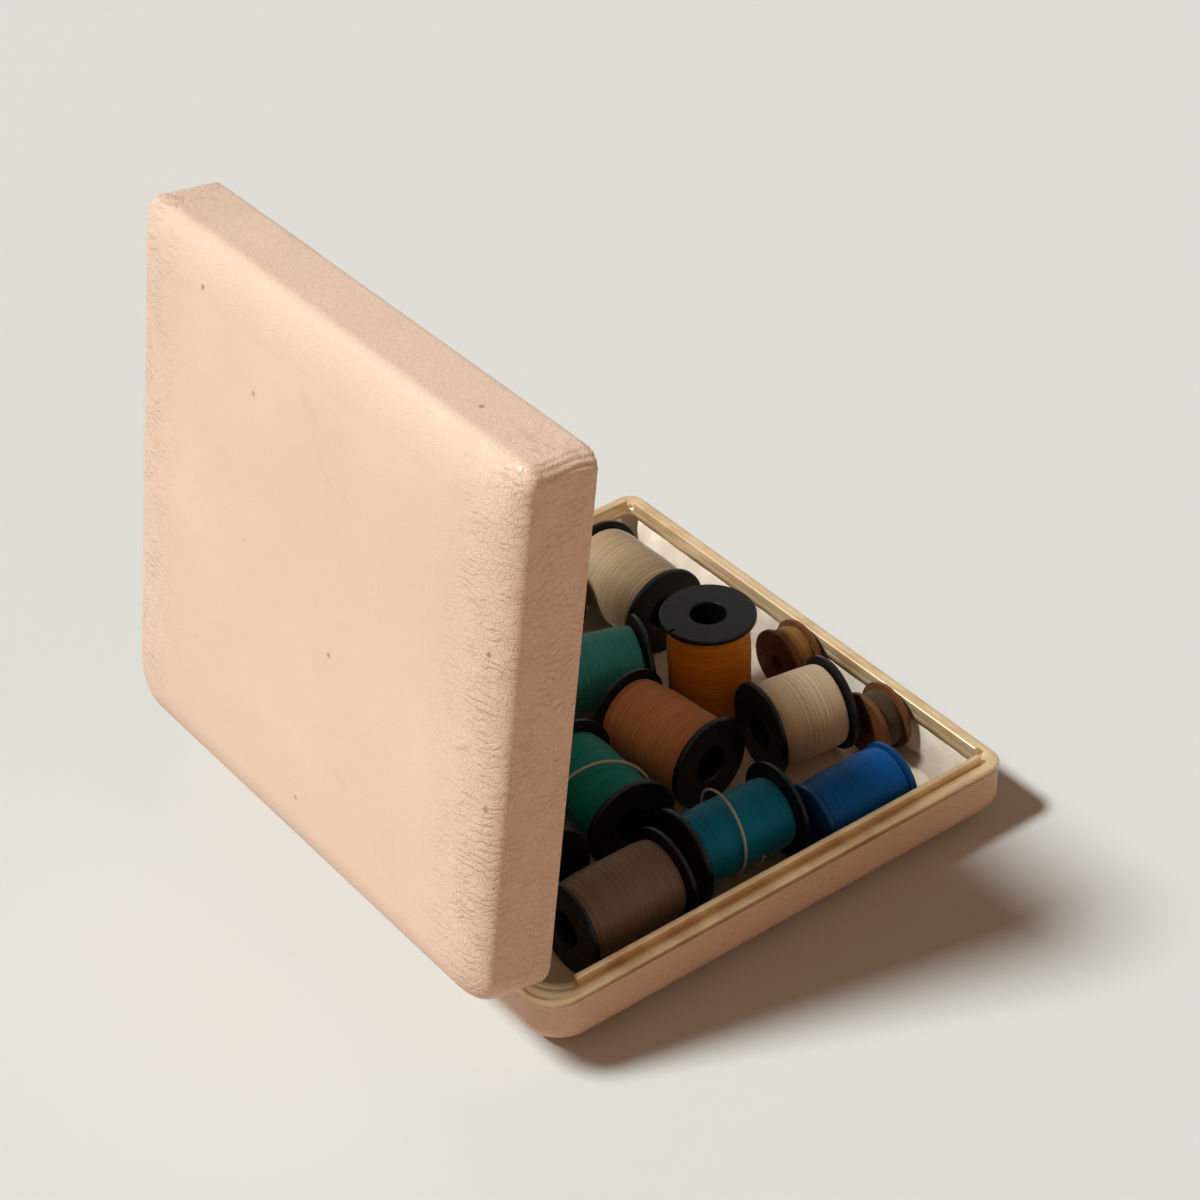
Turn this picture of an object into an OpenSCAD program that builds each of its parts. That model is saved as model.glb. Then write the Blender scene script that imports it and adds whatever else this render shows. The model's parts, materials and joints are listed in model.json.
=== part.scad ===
// Hinged padded case that holds small spools and bobbins of sewing thread.
// Millimetres, +Z up, front towards -Y, hinge towards +Y, the base stands on Z = 0.

/* [Case] */
// Width of the case at its metal rims
body_w = 110; // [110:0.5:140]
// Depth of the case at its metal rims, front to hinge
body_d = 101.5; // [101.5:0.5:130]
// Height of the base, from the table to the meeting plane of the rims
base_h = 13.5; // [12.5:0.1:18]
// Height of the lid, from the meeting plane of the rims to its top
lid_h = 16.1; // [15.5:0.1:24]
// Plan radius of the two front corners
front_corner_r = 3.4; // [2.5:0.1:6]
// Plan radius of the two hinge corners
hinge_corner_r = 7; // [5:0.1:9]

/* [Padded edges] */
// How far the lid's rounded edge reaches in over the top
lid_edge_reach = 10; // [6:0.1:12]
// How far the lid's rounded edge comes down the wall
lid_edge_drop = 4.4; // [3:0.1:6]
// How far the rounded edge comes down the wall on the hinge side of the lid
lid_back_drop = 7.5; // [4:0.1:9]
// Rise of the lid's crowned top above its edge
lid_crown = 0.6; // [0.2:0.1:1.2]
// How far the base's rounded edge reaches in under the bottom
base_edge_reach = 9; // [6:0.1:11]
// How far the base's rounded edge comes up the wall
base_edge_rise = 6.5; // [4:0.1:7]
// Growth of the corner radius for each millimetre the edge is drawn in
corner_growth = 0.5; // [0:0.05:0.8]

/* [Walls] */
// Thickness of the leatherette covering
cover_t = 0.6; // [0.4:0.05:1]
// Thickness of the pressed board shells
core_t = 1.4; // [1:0.05:1.6]
// Thickness of the base's padded satin wall strips
lining_t = 1.8; // [1.2:0.05:2]
// Thickness of the base's padded floor
pad_t = 1.4; // [1:0.05:1.6]
// Thickness of the lid's padded satin ceiling
lid_pad_t = 1; // [0.6:0.05:1.4]
// Thickness of the lid's wall lining
lid_lining_t = 0.6; // [0.4:0.05:1]
// How far the leatherette sits back from the face of the metal rims
cover_inset = 0.2; // [0.1:0.05:0.4]

/* [Metal rims] */
// Height of the base rim's outer face
rim_face_h = 1.5; // [1:0.1:2.5]
// Width of the base rim's flat ledge
ledge_w = 2.4; // [1.8:0.1:2.8]
// Width of the raised lip inside the ledge
lip_w = 1.1; // [0.8:0.05:1.3]
// Height of the raised lip
lip_h = 1.3; // [0.6:0.1:1.6]
// Depth of the rim's inner flange, which holds the lining's edge
rim_flange_h = 2.2; // [1.8:0.1:3]
// Thickness of the rim's inner flange
rim_flange_t = 0.5; // [0.3:0.05:0.6]
// Height of the lid rim's outer face
lid_rim_h = 1.3; // [1:0.1:1.4]
// Gap between the rims when the case is shut
rim_gap = 0.1; // [0.05:0.05:0.3]

/* [Hinge] */
// Angle of the lid from shut
lid_open = 81; // [0:1:95]
// Distance of the hinge pin behind the back face of the rims
hinge_back = 1.35; // [1.35:0.05:1.8]
// Height of the hinge pin above the meeting plane of the rims
hinge_up = 1.8; // [1.7:0.05:2.4]
// Diameter of the hinge pin
pin_d = 1; // [0.8:0.05:1]
// Running clearance round the pin, on the radius
pin_clear = 0.05; // [0.03:0.01:0.1]
// Diameter of the hinge knuckles
knuckle_d = 2.2; // [2.1:0.05:2.3]
// Length of the hinge
hinge_len = 84; // [60:1:90]
// Number of knuckles, of which the base has the two outer ones
knuckles = 7; // [5:2:9]
// Gap between two knuckles
knuckle_gap = 0.2; // [0.1:0.05:0.4]

/* [Spools] */
// Diameter of a spool's flanges
flange_d = 18; // [16:0.1:18]
// Length of a spool
spool_len = 22; // [20:0.1:22]
// Length of a short spool
short_len = 16; // [14:0.1:16.5]
// Diameter of the small spool's flanges
small_flange_d = 14.4; // [13.4:0.1:14.6]
// Length of the small spool
small_len = 19.6; // [18:0.1:20]
// Diameter of the hole through a spool
spool_bore_d = 6.8; // [5:0.1:7.4]
// Diameter of the hub that the thread is wound on
hub_d = 9.4; // [8.6:0.1:10.4]
// Thickness of a flange at the hub
flange_root_t = 1.4; // [1:0.05:1.6]
// Thickness of a flange at its edge
flange_edge_t = 0.9; // [0.7:0.05:0.95]
// Depth of the thread-end nick in a flange
nick_depth = 1.2; // [0.8:0.1:1.6]
// Width of the thread-end nick
nick_w = 0.5; // [0.3:0.05:0.8]

/* [Small reels] */
// Diameter of a small reel
reel_d = 13; // [12:0.1:13.4]
// Width of a small reel
reel_w = 6.2; // [5.4:0.1:6.4]
// Diameter of the hole through a small reel
reel_bore_d = 3; // [2.4:0.1:3.4]
// Diameter of a small reel's hub
reel_hub_d = 5; // [4.8:0.1:6]
// Thickness of a small reel's flanges
reel_flange_t = 0.9; // [0.6:0.05:1]

/* [Loose thread] */
// Diameter of a loose thread
thread_d = 0.5; // [0.4:0.05:0.5]

/* [Hidden] */

leatherette = [0.90, 0.79, 0.69];
brass = [0.80, 0.70, 0.50];
board = [0.62, 0.52, 0.42];
satin = [0.93, 0.89, 0.81];
black_plastic = [0.07, 0.07, 0.07];
brown_plastic = [0.24, 0.13, 0.05];
pale_thread = [0.86, 0.84, 0.78];

arc_steps = 8;        // points along each plan corner
edge_steps = 7;       // rings up a rounded edge
fit = 0.02;           // gap between curved faces that are glued to each other
rest_gap = 0.2;       // a spool lies this far above the flat top of the padded floor
edge_chamfer = 0.25;  // broken edges of the metal and plastic pieces
crown_reach = 12;     // how far in from the rounded edge the lid's crown is reached

half_w = body_w / 2;
half_d = body_d / 2;
rim_z = base_h;
core_out = cover_inset + cover_t;          // board's outer face, in from the rim's face
core_in = core_out + core_t;               // board's inner face, in from the rim's face
tray_in = core_in + fit + lining_t;        // free inside of the tray, in from the rim's face
floor_z = cover_t + core_t;                // top of the board under the padded floor
pad_z = floor_z + pad_t;                   // top of the padded floor
rim_w = ledge_w + lip_w;
hinge_y = half_d + hinge_back;
hinge_z = rim_z + hinge_up;
tray_half_w = half_w - tray_in;
tray_half_d = half_d - tray_in;
lie_z = pad_z + rest_gap;

// ---- outlines ---------------------------------------------------------------------------

function corner(cx, cy, r, from) =
    [for (i = [0:arc_steps]) let (a = from + 90 * i / arc_steps) [cx + r * cos(a), cy + r * sin(a)]];

// The case's outline drawn in by side, front and back, with its two kinds of corner.
function outline(side, front, back, grow = 0) =
    let (hw = half_w - side,
         yf = -half_d + front,
         yb = half_d - back,
         rf = max(0.4, front_corner_r - cover_inset + grow),
         rb = max(0.4, hinge_corner_r - cover_inset + grow * 0.2))
    concat(corner(hw - rb, yb - rb, rb, 0), corner(-hw + rb, yb - rb, rb, 90),
           corner(-hw + rf, yf + rf, rf, 180), corner(hw - rf, yf + rf, rf, 270));

function inset(t) = outline(t, t, t, -t / 2);

// Draw-in of a quarter-ellipse edge at a distance above the point where it starts.
function draw_in(up, reach, drop) =
    up <= 0 ? 0 : reach * (1 - sqrt(max(0, 1 - pow(min(up / drop, 1), 2))));

// A closed solid through a stack of outlines with equal numbers of points.
module loft(rings) {
    n = len(rings[0]);
    m = len(rings);
    points = [for (r = rings) each r];
    sides = [for (k = [0:m - 2]) for (i = [0:n - 1])
        let (j = (i + 1) % n) [k * n + i, (k + 1) * n + i, (k + 1) * n + j, k * n + j]];
    bottom = [for (i = [0:n - 1]) i];
    top = [for (i = [0:n - 1]) (m - 1) * n + n - 1 - i];
    polyhedron(points, concat([bottom], sides, [top]), convexity = 4);
}

function level(points, z) = [for (p = points) [p[0], p[1], z]];

// ---- base -------------------------------------------------------------------------------

// The base's body drawn in by t all over, from its flat bottom up to z_top.
module base_form(t, bottom, z_top) {
    start = base_edge_rise;
    rise = start - bottom;
    reach = base_edge_reach - t / 2;
    edge = [for (i = [edge_steps:-1:0])
        let (a = 90 * i / edge_steps, d = reach * (1 - cos(a)))
        level(outline(t + d, t + d, t + d, corner_growth * d - t / 2), start - rise * sin(a))];
    loft(concat(edge, [level(inset(t), z_top)]));
}

module bottom_panel() {
    color(leatherette)
        linear_extrude(cover_t)
            polygon(outline(base_edge_reach + 2, base_edge_reach + 2, base_edge_reach + 2, 3));
}

module base_cover() {
    color(leatherette)
        difference() {
            base_form(cover_inset, 0.05, rim_z - rim_face_h);
            base_form(core_out, cover_t, rim_z + 1);
            translate([0, 0, -1])
                linear_extrude(cover_t + 2)
                    polygon(outline(base_edge_reach + 1.9, base_edge_reach + 1.9,
                                    base_edge_reach + 1.9, 3));
        }
}

module base_core() {
    color(board)
        difference() {
            base_form(core_out + fit, cover_t, rim_z - rim_face_h);
            base_form(core_in, floor_z, rim_z + 1);
        }
}

module lip_bar(length) {
    rotate([90, 0, 90])
        translate([-lip_w / 2, -0.2, -length / 2])
            linear_extrude(length)
                polygon([[0, 0], [lip_w, 0], [lip_w, lip_h + 0.2 - edge_chamfer],
                         [lip_w - edge_chamfer, lip_h + 0.2], [edge_chamfer, lip_h + 0.2],
                         [0, lip_h + 0.2 - edge_chamfer]]);
}

module base_rim() {
    lip_mid = ledge_w + lip_w / 2;
    front_lip = body_w - 2 * (ledge_w + lip_w + 1.2);
    side_lip = body_d - 2 * (ledge_w + lip_w) - 7;
    color(brass) {
        difference() {
            union() {
                translate([0, 0, rim_z - rim_face_h])
                    linear_extrude(rim_face_h)
                        polygon(inset(0));
                translate([0, 0, rim_z - rim_flange_h])
                    linear_extrude(rim_flange_h)
                        polygon(inset(rim_w - rim_flange_t));
            }
            translate([0, 0, rim_z - 10])
                linear_extrude(20)
                    polygon(inset(rim_w));
        }
        translate([0, -half_d + lip_mid, rim_z])
            lip_bar(front_lip);
        for (s = [-1, 1])
            translate([s * (half_w - lip_mid), -2, rim_z])
                rotate([0, 0, 90])
                    lip_bar(side_lip);
    }
}

module base_floor_pad() {
    color(satin)
        intersection() {
            base_form(core_in + fit, floor_z, rim_z);
            translate([0, 0, floor_z])
                linear_extrude(pad_t)
                    polygon(inset(core_in + fit));
        }
}

// The wedge of space that belongs to one side of the case, turned from the front.
module mitre(turn) {
    along = (turn % 180 == 0) ? half_w : half_d;
    away = (turn % 180 == 0) ? half_d : half_w;
    rotate([0, 0, turn])
        translate([0, -away, -1])
            linear_extrude(base_h + lid_h + 4)
                polygon([[-along - 5 + fit, -5], [along + 5 - fit, -5],
                         [along - 15 - fit, 15], [-along + 15 + fit, 15]]);
}

// A slice of everything between two heights.
module between(low, high) {
    translate([-body_w, -body_d, low])
        cube([2 * body_w, 2 * body_d, high - low]);
}

// One padded strip of wall lining; the strips meet in mitres at the corners.
module wall_strip(turn) {
    color(satin)
        difference() {
            intersection() {
                base_form(core_in + fit, floor_z, rim_z);
                between(pad_z, rim_z - rim_flange_h);
                mitre(turn);
            }
            translate([0, 0, -1])
                linear_extrude(base_h + 2)
                    polygon(inset(tray_in));
        }
}

module base_lining_front() { wall_strip(0); }
module base_lining_right() { wall_strip(90); }
module base_lining_back() { wall_strip(180); }
module base_lining_left() { wall_strip(270); }

// ---- hinge ------------------------------------------------------------------------------

knuckle_pitch = hinge_len / knuckles;
knuckle_r = knuckle_d / 2;

module knuckle_row(first) {
    for (i = [first:2:knuckles - 1])
        translate([-hinge_len / 2 + i * knuckle_pitch + knuckle_gap / 2, hinge_y, hinge_z])
            rotate([0, 90, 0])
                cylinder(h = knuckle_pitch - knuckle_gap, r = knuckle_r, $fn = 48);
}

module pin_bore() {
    translate([-hinge_len / 2 - 1, hinge_y, hinge_z])
        rotate([0, 90, 0])
            cylinder(h = hinge_len + 2, r = pin_d / 2 + pin_clear, $fn = 48);
}

module base_hinge_leaf() {
    web_y = hinge_y - 0.8;
    web_t = 0.6;
    color(brass)
        difference() {
            union() {
                knuckle_row(0);
                translate([-hinge_len / 2, half_d + 0.02, rim_z - rim_face_h + 0.1])
                    cube([hinge_len, web_y + web_t - half_d - 0.02, rim_face_h - 0.3]);
                for (i = [0:2:knuckles - 1])
                    translate([-hinge_len / 2 + i * knuckle_pitch + knuckle_gap / 2,
                               web_y, rim_z - rim_face_h + 0.1])
                        cube([knuckle_pitch - knuckle_gap, web_t,
                              hinge_up + rim_face_h - 0.1]);
            }
            pin_bore();
        }
}

module hinge_pin() {
    head_t = 0.5;
    pin_len = hinge_len - knuckle_gap;
    color(brass)
        translate([-pin_len / 2, hinge_y, hinge_z])
            rotate([0, 90, 0]) {
                cylinder(h = pin_len, r = pin_d / 2, $fn = 48);
                translate([0, 0, -head_t])
                    cylinder(h = head_t, r = pin_d * 0.8, $fn = 48);
                translate([0, 0, pin_len])
                    cylinder(h = head_t, r = pin_d * 0.8, $fn = 48);
            }
}

// Turns a piece that is drawn shut to the lid's open place.
module opened() {
    translate([0, hinge_y, hinge_z])
        rotate([-lid_open, 0, 0])
            translate([0, -hinge_y, -hinge_z])
                children();
}

module lid_hinge_leaf() {
    strip_t = 0.3;
    strip_low = rim_z + rim_gap + 0.05;
    strip_top = hinge_z - 0.75;
    color(brass)
        opened()
            difference() {
                union() {
                    knuckle_row(1);
                    translate([-hinge_len / 2, half_d + 0.02, strip_low])
                        cube([hinge_len, strip_t, strip_top - strip_low]);
                    for (i = [1:2:knuckles - 1])
                        translate([-hinge_len / 2 + i * knuckle_pitch + knuckle_gap / 2,
                                   half_d + 0.02, strip_low])
                            cube([knuckle_pitch - knuckle_gap, hinge_back - 0.1,
                                  strip_top - strip_low]);
                }
                pin_bore();
            }
}

// ---- lid, drawn shut and then opened ------------------------------------------------------

lid_z = rim_z + rim_gap;

// The lid's body drawn in by t all over, with its top face drop below the highest point.
module lid_form(t, drop, z_low, crown) {
    top = rim_z + lid_h - drop - crown;
    side_drop = max(1, lid_edge_drop - drop / 2);
    back_drop = max(2, lid_back_drop - drop / 2);
    reach = lid_edge_reach - t / 2;
    heights = concat([for (i = [0:2]) top - back_drop + (back_drop - side_drop) * i / 3],
                     [for (i = [0:edge_steps]) top - side_drop * (1 - sin(90 * i / edge_steps))]);
    edge = [for (z = heights)
        let (d = draw_in(z - top + side_drop, reach, side_drop),
             b = draw_in(z - top + back_drop, reach, back_drop))
        level(outline(t + d, t + d, t + b, corner_growth * d - t / 2), z)];
    ridge = [for (i = [1:3])
        let (d = reach + crown_reach * i / 3, lift = crown * sin(30 * i))
        level(outline(t + d, t + d, t + d, corner_growth * reach + i), top + lift)];
    loft(concat([level(inset(t), z_low)], edge, crown > 0 ? ridge : []));
}

module lid_cover() {
    color(leatherette)
        opened()
            difference() {
                lid_form(cover_inset, 0, lid_z + lid_rim_h, lid_crown);
                lid_form(core_out, cover_t, rim_z - 1, lid_crown);
            }
}

module lid_core() {
    color(board)
        opened()
            difference() {
                lid_form(core_out + fit, cover_t + fit, lid_z + lid_rim_h, lid_crown);
                lid_form(core_in, cover_t + core_t + lid_crown, rim_z - 1, 0);
            }
}

module lid_rim() {
    color(brass)
        opened()
            translate([0, 0, lid_z])
                linear_extrude(lid_rim_h)
                    difference() {
                        polygon(inset(0));
                        polygon(inset(core_in));
                    }
}

lid_ceiling_z = rim_z + lid_h - cover_t - core_t - lid_crown;

module lid_ceiling_pad() {
    color(satin)
        opened()
            intersection() {
                lid_form(core_in + fit, cover_t + core_t + lid_crown, rim_z - 1, 0);
                translate([0, 0, lid_ceiling_z - lid_pad_t])
                    linear_extrude(lid_pad_t)
                        polygon(inset(core_in + fit));
            }
}

// One strip of the lid's wall lining, from the lid's rim up to its padded ceiling.
module lid_strip(turn) {
    color(satin)
        opened()
            difference() {
                intersection() {
                    lid_form(core_in + fit, cover_t + core_t + lid_crown, rim_z - 1, 0);
                    between(rim_z + lip_h + 0.6, lid_ceiling_z - lid_pad_t);
                    mitre(turn);
                }
                translate([0, 0, rim_z - 1])
                    linear_extrude(lid_h + 2)
                        polygon(inset(core_in + lid_lining_t));
            }
}

module lid_lining_front() { lid_strip(0); }
module lid_lining_right() { lid_strip(90); }
module lid_lining_back() { lid_strip(180); }
module lid_lining_left() { lid_strip(270); }

// ---- spools and reels ---------------------------------------------------------------------

// Each row: name, place, turn, kind, thread radius, thread colour. Places are hand-set; one
// that starts with a wall's name is measured from that wall.
from_right = -tray_half_w;
from_left = tray_half_w;
from_front = -tray_half_d;
from_back = tray_half_d;
NAME = 0;
PLACE = 1;
TURN = 2;
KIND = 3;
WOUND = 4;
SHADE = 5;
SPOOLS = [
    ["cream", [from_left - 20.5, from_front + 15.1], 180, "long", 8.2, [0.80, 0.74, 0.62]],
    ["amber", [0.6, from_front + 19.5], 0, "standing", 7.8, [0.80, 0.50, 0.08]],
    ["teal", [14.2, -9], 70, "long", 7.4, [0.12, 0.52, 0.50]],
    ["copper", [-10.6, -8.7], 7, "long", 7.9, [0.72, 0.45, 0.28]],
    ["green", [-15, 10.2], 176, "long", 7.4, [0.02, 0.42, 0.34]],
    ["lagoon", [from_right + 12.8, -1], 88, "long", 6.8, [0.02, 0.40, 0.52]],
    ["taupe", [from_right + 11.3, 25], 90, "long", 7.5, [0.44, 0.38, 0.31]],
    ["white", [-20.5, from_front + 16.05], 82, "short", 8.1, [0.80, 0.74, 0.62]],
    ["blue", [from_right + 7.6, from_front + 22.6], 90, "small", 7, [0.02, 0.33, 0.66]],
    ["rose", [from_left - 11.8, -9.8], 92, "long", 7.6, [0.66, 0.30, 0.34]],
    ["navy", [14, 14.8], 4, "long", 7.4, [0.08, 0.12, 0.28]],
    ["olive", [from_left - 12, 14.6], 90, "long", 7.7, [0.36, 0.36, 0.14]],
    ["black", [-15.8, 29.6], 178, "long", 7.6, [0.08, 0.08, 0.09]],
    ["plum", [10.5, from_back - 9.8], 2, "long", 7.5, [0.36, 0.14, 0.28]]];
REELS = [
    ["brown", [-3.6, from_front + 3.7], 90, "reel", 5.7, [0.34, 0.20, 0.06]],
    ["umber", [-28.4, from_front + 3.7], 90, "reel", 5.5, [0.20, 0.12, 0.06]]];

function length_of(s) =
    s[KIND] == "short" ? short_len
    : s[KIND] == "small" ? small_len
    : s[KIND] == "reel" ? reel_w : spool_len;

function radius_of(s) =
    s[KIND] == "small" ? small_flange_d / 2 : s[KIND] == "reel" ? reel_d / 2 : flange_d / 2;

// Sets a piece drawn about its own middle, with its axis up, at the place of a spool.
module seated(s) {
    standing = s[KIND] == "standing";
    up = standing ? length_of(s) / 2 : radius_of(s);
    translate([s[PLACE][0], s[PLACE][1], lie_z + up])
        rotate([0, standing ? 0 : 90, s[TURN]])
            children();
}

module spool(s) {
    h = length_of(s) / 2;
    r = radius_of(s);
    bore = spool_bore_d / 2;
    hub = hub_d / 2;
    c = edge_chamfer;
    color(black_plastic)
        seated(s)
            difference() {
                rotate_extrude($fn = 64)
                    polygon([[bore + c, -h], [r - c, -h], [r, -h + c],
                             [r, -h + flange_edge_t], [hub, -h + flange_root_t],
                             [hub, h - flange_root_t], [r, h - flange_edge_t],
                             [r, h - c], [r - c, h], [bore + c, h],
                             [bore, h - c], [bore, -h + c]]);
                translate([-nick_w / 2, r - nick_depth, h - flange_root_t - 0.5])
                    cube([nick_w, nick_depth + 1, flange_root_t + 1]);
            }
}

module reel(s) {
    h = reel_w / 2;
    r = reel_d / 2;
    t = reel_flange_t;
    c = edge_chamfer;
    color(brown_plastic)
        seated(s)
            rotate_extrude($fn = 64)
                polygon([[reel_bore_d / 2, -h], [r - c, -h], [r, -h + c], [r, -h + t],
                         [reel_hub_d / 2, -h + t], [reel_hub_d / 2, h - t], [r, h - t],
                         [r, h - c], [r - c, h], [reel_bore_d / 2, h]]);
}

// Wound thread: a barrel that is a little fuller in the middle than at the flanges.
module winding(s) {
    is_reel = s[KIND] == "reel";
    hub = (is_reel ? reel_hub_d : hub_d) / 2;
    h = length_of(s) / 2 - (is_reel ? reel_flange_t : flange_root_t);
    r = s[WOUND];
    droop = 0.45;
    steps = 6;
    color(s[SHADE])
        seated(s)
            rotate_extrude($fn = 64)
                polygon(concat([[hub, -h]],
                               [for (i = [-steps:steps])
                                   [r - droop * pow(i / steps, 4), h * i / steps]],
                               [[hub, h]]));
}

// ---- loose thread -------------------------------------------------------------------------

function unit(v) = v / norm(v);

// A round thread swept along points, as one closed solid.
module thread_path(path) {
    sides = 8;
    last = len(path) - 1;
    r = thread_d / 2;
    points = [for (i = [0:last])
        let (t = unit(path[min(i + 1, last)] - path[max(i - 1, 0)]),
             u = unit(cross(t, abs(t[2]) > 0.9 ? [1, 0, 0] : [0, 0, 1])),
             v = cross(t, u))
        each [for (k = [0:sides - 1])
            path[i] + r * (cos(360 * k / sides) * u + sin(360 * k / sides) * v)]];
    walls = [for (i = [0:last - 1]) for (k = [0:sides - 1])
        let (n = (k + 1) % sides)
        [i * sides + k, i * sides + n, (i + 1) * sides + n, (i + 1) * sides + k]];
    color(pale_thread)
        polyhedron(points, concat([[for (k = [sides - 1:-1:0]) k]], walls,
                                  [[for (k = [0:sides - 1]) last * sides + k]]));
}

// A loose turn of thread round a spool: it leaves the winding at angle start, stands off it
// by up to rise, and comes back down to end on it, drifting along the axis from one end of
// the stretch to the other.
function loose_turn(s, start, turns, rise, stretch, rings) =
    [for (i = [0:rings])
        let (u = i / rings,
             a = start + 360 * turns * u,
             r = s[WOUND] + thread_d / 2 - 0.05 + rise * sin(180 * u))
        [r * cos(a), r * sin(a), stretch[0] + (stretch[1] - stretch[0]) * u]];

module loose_thread_lagoon() {
    s = SPOOLS[5];
    seated(s)
        thread_path(loose_turn(s, 30, 1.12, 1.5, [3.2, -2.4], 42));
}

module loose_thread_green() {
    s = SPOOLS[4];
    seated(s)
        thread_path(loose_turn(s, 100, 0.62, 1.1, [6, -5], 24));
}

// ---- drawing ------------------------------------------------------------------------------

bottom_panel();
base_cover();
base_core();
base_rim();
base_floor_pad();
base_lining_front();
base_lining_back();
base_lining_left();
base_lining_right();
base_hinge_leaf();
hinge_pin();
lid_cover();
lid_core();
lid_rim();
lid_ceiling_pad();
lid_lining_front();
lid_lining_back();
lid_lining_left();
lid_lining_right();
lid_hinge_leaf();
for (s = SPOOLS) {
    spool(s);
    winding(s);
}
for (s = REELS) {
    reel(s);
    winding(s);
}
loose_thread_lagoon();
loose_thread_green();
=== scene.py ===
import json
import math
import random

import bmesh
import bpy
from mathutils import Matrix, Vector, noise


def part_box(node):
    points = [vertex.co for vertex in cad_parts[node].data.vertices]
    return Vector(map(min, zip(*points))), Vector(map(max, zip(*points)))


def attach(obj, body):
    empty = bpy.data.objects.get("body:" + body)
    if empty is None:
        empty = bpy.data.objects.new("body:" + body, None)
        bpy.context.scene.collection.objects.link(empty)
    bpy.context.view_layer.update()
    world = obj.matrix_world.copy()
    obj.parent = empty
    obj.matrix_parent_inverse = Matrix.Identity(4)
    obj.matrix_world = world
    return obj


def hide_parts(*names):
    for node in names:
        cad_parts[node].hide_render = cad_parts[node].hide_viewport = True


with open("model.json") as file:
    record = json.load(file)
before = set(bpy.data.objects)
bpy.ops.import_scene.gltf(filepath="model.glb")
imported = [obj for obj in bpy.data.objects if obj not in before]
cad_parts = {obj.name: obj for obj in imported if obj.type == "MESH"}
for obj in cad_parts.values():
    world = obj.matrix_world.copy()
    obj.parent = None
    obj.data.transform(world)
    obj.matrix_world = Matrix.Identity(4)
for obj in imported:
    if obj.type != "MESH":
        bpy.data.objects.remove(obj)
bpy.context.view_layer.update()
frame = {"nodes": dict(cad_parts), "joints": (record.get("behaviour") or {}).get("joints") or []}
MM = 0.001

# ---- Camera ----------------------------------------------------------------------------
# A long lens looks down at the hinge corner of the open case from behind its right end.
CAMERA_PLACE = Vector((-371.2, 258.2, 377.4)) * MM
CAMERA_AIM = Vector((9.8, -9.6, 31.7)) * MM
CAMERA_ROLL = math.radians(-2.96)

lens = bpy.data.cameras.new("camera")
lens.lens = 95.6
lens.sensor_width = 36
lens.clip_start = 0.01
camera = bpy.data.objects.new("camera", lens)
bpy.context.scene.collection.objects.link(camera)
facing = (CAMERA_AIM - CAMERA_PLACE).to_track_quat("-Z", "Y").to_matrix().to_4x4()
camera.matrix_world = (Matrix.Translation(CAMERA_PLACE) @ facing
                       @ Matrix.Rotation(CAMERA_ROLL, 4, "Z"))
bpy.context.scene.camera = camera
bpy.context.scene.view_settings.view_transform = "Standard"


# ---- Studio ----------------------------------------------------------------------------
# A warm off-white table stands in soft light from a window behind the lid, with a warm glow
# from a wall beyond the case's right end. Table and room are pale where they are looked at
# or mirrored, and warmer and darker where they only throw light back.
TABLE_SEEN = (0.645, 0.64, 0.60)
TABLE_BOUNCE = (0.48, 0.37, 0.28)
ROOM_SEEN = (0.74, 0.73, 0.69)
ROOM_FILL = (0.17, 0.102, 0.065)
WINDOW_LIGHT = (0.91, 0.965, 1.0)
GLOW_LIGHT = (1.0, 0.66, 0.46)


def add_material(name, colour, roughness=0.5, **sockets):
    """A material whose shader has these values on its own sockets."""
    material = bpy.data.materials.new(name)
    material.use_nodes = True
    shader = material.node_tree.nodes["Principled BSDF"]
    shader.inputs["Base Color"].default_value = (*colour, 1)
    shader.inputs["Roughness"].default_value = roughness
    for socket, value in sockets.items():
        shader.inputs[socket.replace("_", " ")].default_value = value
    return material


def node(material, kind, inputs=(), **settings):
    """A node with its settings made and its inputs linked or set."""
    new = material.node_tree.nodes.new("ShaderNode" + kind)
    for setting, value in settings.items():
        setattr(new, setting, value)
    for socket, value in dict(inputs).items():
        if isinstance(value, bpy.types.NodeSocket):
            material.node_tree.links.new(value, new.inputs[socket])
        else:
            new.inputs[socket].default_value = value
    return new


def shade(material, socket, output):
    """Feeds a socket of the material's shader."""
    shader = material.node_tree.nodes["Principled BSDF"]
    material.node_tree.links.new(output, shader.inputs[socket])


def shown(bm, name, material):
    """Turns a bmesh into a smooth object at the origin with this material."""
    mesh = bpy.data.meshes.new(name)
    bm.to_mesh(mesh)
    bm.free()
    for polygon in mesh.polygons:
        polygon.use_smooth = True
    piece = bpy.data.objects.new(name, mesh)
    bpy.context.scene.collection.objects.link(piece)
    mesh.materials.append(material)
    return piece


def pale_where_seen(material, seen, hidden):
    """A colour for camera, mirrored and transmitted rays, and another for the rest."""
    rays = node(material, "LightPath").outputs
    direct = node(material, "Math", {0: rays["Is Camera Ray"], 1: rays["Is Glossy Ray"]},
                  operation="MAXIMUM")
    looked_at = node(material, "Math", {0: direct.outputs[0],
                                        1: rays["Is Transmission Ray"]},
                     operation="MAXIMUM")
    return node(material, "MixRGB", {"Fac": looked_at.outputs[0],
                                     "Color1": (*hidden, 1),
                                     "Color2": (*seen, 1)}).outputs[0]


table_paint = add_material("table_paint", TABLE_SEEN, roughness=0.9)
shade(table_paint, "Base Color", pale_where_seen(table_paint, TABLE_SEEN, TABLE_BOUNCE))
table = bmesh.new()
bmesh.ops.create_grid(table, x_segments=1, y_segments=1, size=4)
shown(table, "table", table_paint)


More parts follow.
